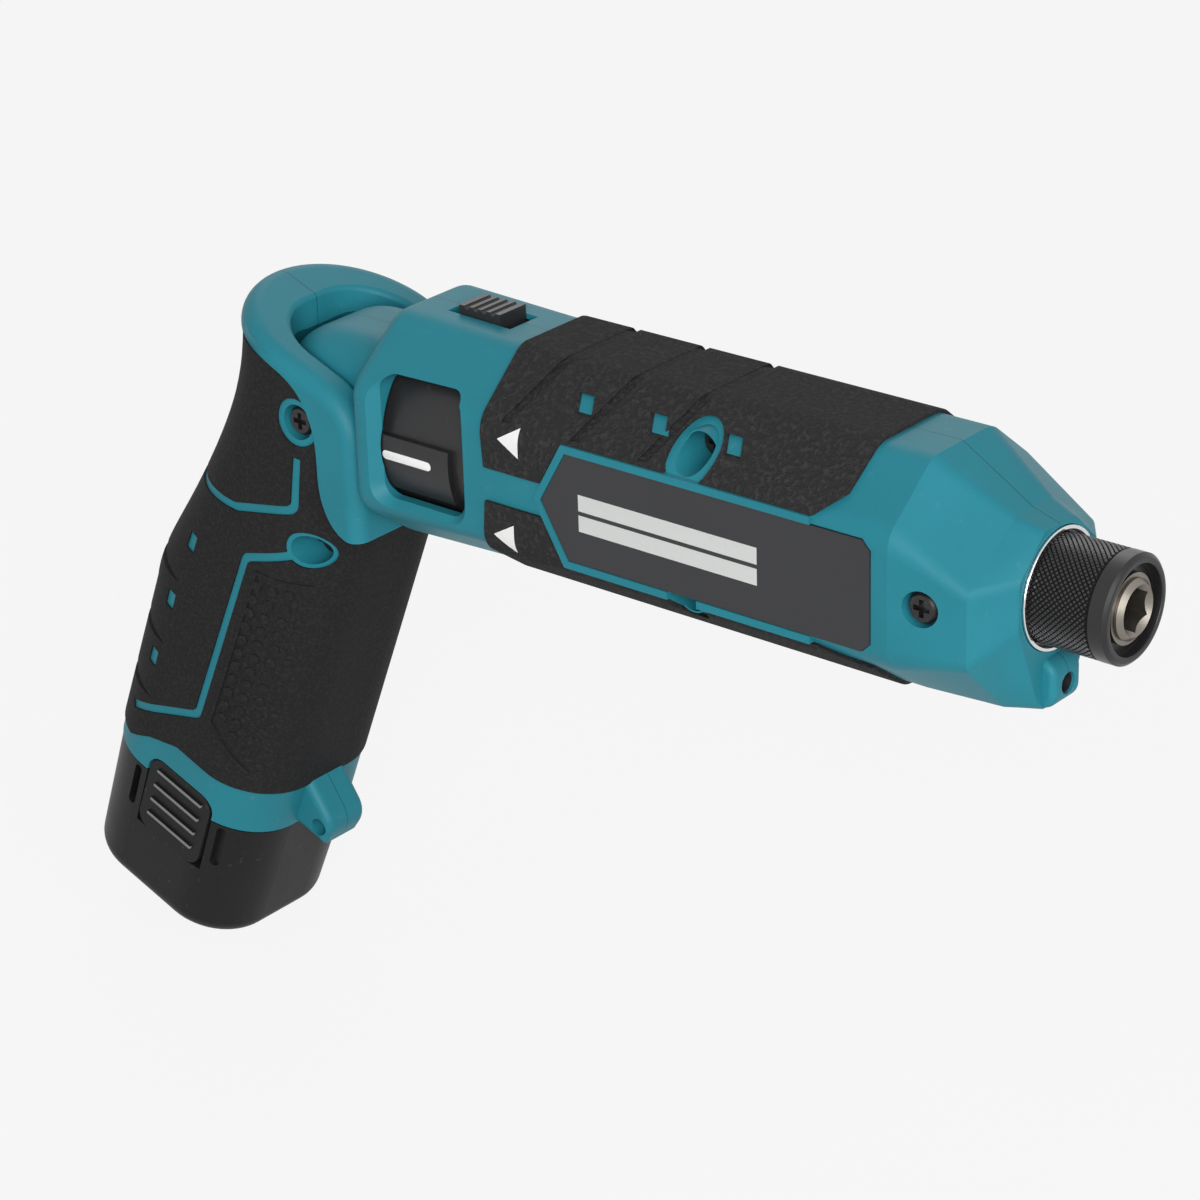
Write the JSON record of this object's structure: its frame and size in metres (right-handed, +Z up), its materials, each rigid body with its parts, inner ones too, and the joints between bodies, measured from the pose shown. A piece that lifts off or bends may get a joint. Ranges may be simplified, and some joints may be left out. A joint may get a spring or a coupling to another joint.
{
  "type": "impact driver",
  "caption": "Cordless impact driver with a folding handle, a hex bit socket under a pull-back sleeve, a direction ring and a slide-out battery",
  "frame": {"origin": "middle of the bit socket's mouth, on the drive axis", "axes": "+X out of the bit socket along the barrel, +Z up from the barrel's top, +Y to the tool's left"},
  "size_m": [0.2239, 0.041, 0.1373],
  "materials": {
    "teal_plastic": "moulded, finely grained",
    "black_rubber": "stippled soft grip",
    "black_plastic": "moulded",
    "charcoal_plastic": "moulded",
    "plate_grey": "satin printed plate, bare",
    "black_steel": "black oxide",
    "steel": "machined",
    "bright_steel": "polished",
    "light_alloy": "die cast",
    "bronze": "sintered",
    "copper": "bare",
    "magnet": "sintered",
    "core_steel": "stacked sheet",
    "graphite": "pressed",
    "cell_wrap": "shrink sleeve over the cell",
    "board_green": "circuit board",
    "lens": "clear"
  },
  "bodies": {
    "barrel": {"barrel_housing_right": "teal_plastic", "barrel_housing_left": "teal_plastic", "upper_grip_right": "black_rubber", "upper_grip_left": "black_rubber", "lower_grip_right": "black_rubber", "lower_grip_left": "black_rubber", "side_plate_right": "plate_grey", "side_plate_left": "plate_grey", "barrel_screws": "black_steel", "led_lens": "lens", "led_board": "board_green", "nose_ring": "bright_steel", "hammer_case": "light_alloy", "anvil_bush": "bronze", "ring_gear": "steel", "gear_plate": "light_alloy", "motor_can": "steel", "motor_magnets": "magnet", "motor_end_cap": "black_plastic", "motor_brushes": "graphite", "motor_bearings": "bright_steel", "switch_body": "black_plastic", "trigger_spring": "steel"},
    "handle": {"handle_shell_right": "teal_plastic", "handle_shell_left": "teal_plastic", "handle_grip_right": "black_rubber", "handle_grip_left": "black_rubber", "handle_screws": "black_steel", "hinge_pin": "steel", "hinge_detent_spring": "steel", "terminal_block": "black_plastic", "terminal_blades": "copper"},
    "battery": {"battery_case": "charcoal_plastic", "battery_cells": "cell_wrap", "latch_spring_right": "steel", "latch_spring_left": "steel"},
    "latch_right": {"battery_latch_right": "charcoal_plastic"},
    "latch_left": {"battery_latch_left": "charcoal_plastic"},
    "trigger": {"trigger": "black_plastic"},
    "lock_slider": {"lock_slider": "black_plastic"},
    "direction_ring": {"direction_ring": "black_plastic"},
    "spindle": {"spindle": "steel", "cam_balls": "bright_steel", "planet_pins": "steel", "hammer_spring": "steel"},
    "planet_1": {"planet_gear_1": "steel"},
    "planet_2": {"planet_gear_2": "steel"},
    "planet_3": {"planet_gear_3": "steel"},
    "hammer": {"hammer": "steel"},
    "rotor": {"rotor_shaft": "steel", "rotor_core": "core_steel", "commutator": "copper", "sun_gear": "steel"},
    "anvil": {"anvil": "steel", "detent_balls": "bright_steel", "retaining_ring": "steel", "spring_washer": "black_steel", "sleeve_spring": "steel"},
    "sleeve": {"chuck_sleeve": "black_steel"}
  },
  "joints": [
    {"name": "handle_fold", "type": "hinge", "parent": "barrel", "child": "handle", "pos_m": [-0.1562, 0, 0], "axis": [0, 1, 0], "range_deg": [0, 66]},
    {"name": "battery_slide", "type": "slide", "parent": "handle", "child": "battery", "axis": [-0.3665, 0, -0.9304], "range_m": [0, 0.042]},
    {"name": "latch_right_press", "type": "slide", "parent": "battery", "child": "latch_right", "axis": [0, 1, 0], "range_m": [0, 0.0014], "stiffness_N_per_m": 900, "springref_m": -0.001, "deforming": ["latch_spring_right"]},
    {"name": "latch_left_press", "type": "slide", "parent": "battery", "child": "latch_left", "axis": [0, -1, 0], "range_m": [0, 0.0014], "stiffness_N_per_m": 900, "springref_m": -0.001, "deforming": ["latch_spring_left"]},
    {"name": "trigger_pull", "type": "slide", "parent": "barrel", "child": "trigger", "axis": [0, 0, 1], "range_m": [0, 0.002], "stiffness_N_per_m": 1500, "springref_m": -0.001, "deforming": ["trigger_spring"]},
    {"name": "lock_slide", "type": "slide", "parent": "barrel", "child": "lock_slider", "axis": [1, 0, 0], "range_m": [-0.002, 0.002]},
    {"name": "direction_turn", "type": "hinge", "parent": "barrel", "child": "direction_ring", "pos_m": [-0.1265, 0, 0], "axis": [1, 0, 0], "range_deg": [-18, 18]},
    {"name": "spindle_spin", "type": "hinge", "parent": "barrel", "child": "spindle", "pos_m": [0, 0, 0], "axis": [1, 0, 0], "continuous": true},
    {"name": "anvil_spin", "type": "hinge", "parent": "barrel", "child": "anvil", "pos_m": [0, 0, 0], "axis": [1, 0, 0], "continuous": true},
    {"name": "rotor_spin", "type": "hinge", "parent": "barrel", "child": "rotor", "pos_m": [0, 0, 0], "axis": [1, 0, 0], "continuous": true},
    {"name": "planet_1_spin", "type": "hinge", "parent": "spindle", "child": "planet_1", "pos_m": [-0.0579, 0.0078, 0], "axis": [1, 0, 0], "continuous": true},
    {"name": "planet_2_spin", "type": "hinge", "parent": "spindle", "child": "planet_2", "pos_m": [-0.0579, -0.0039, 0.00675], "axis": [1, 0, 0], "continuous": true},
    {"name": "planet_3_spin", "type": "hinge", "parent": "spindle", "child": "planet_3", "pos_m": [-0.0579, -0.0039, -0.00675], "axis": [1, 0, 0], "continuous": true},
    {"name": "hammer_retract", "type": "slide", "parent": "spindle", "child": "hammer", "axis": [-1, 0, 0], "range_m": [0, 0.006], "stiffness_N_per_m": 4000, "springref_m": -0.004, "deforming": ["hammer_spring"]},
    {"name": "sleeve_pull", "type": "slide", "parent": "anvil", "child": "sleeve", "axis": [1, 0, 0], "range_m": [0, 0.003], "stiffness_N_per_m": 1200, "springref_m": -0.002, "deforming": ["sleeve_spring"]}
  ],
  "couplings": [
    {"joint": "anvil_spin", "follows": "spindle_spin", "ratio": 1},
    {"joint": "rotor_spin", "follows": "spindle_spin", "ratio": 5.3333},
    {"joint": "planet_1_spin", "follows": "spindle_spin", "ratio": -2.6},
    {"joint": "planet_2_spin", "follows": "spindle_spin", "ratio": -2.6},
    {"joint": "planet_3_spin", "follows": "spindle_spin", "ratio": -2.6}
  ]
}
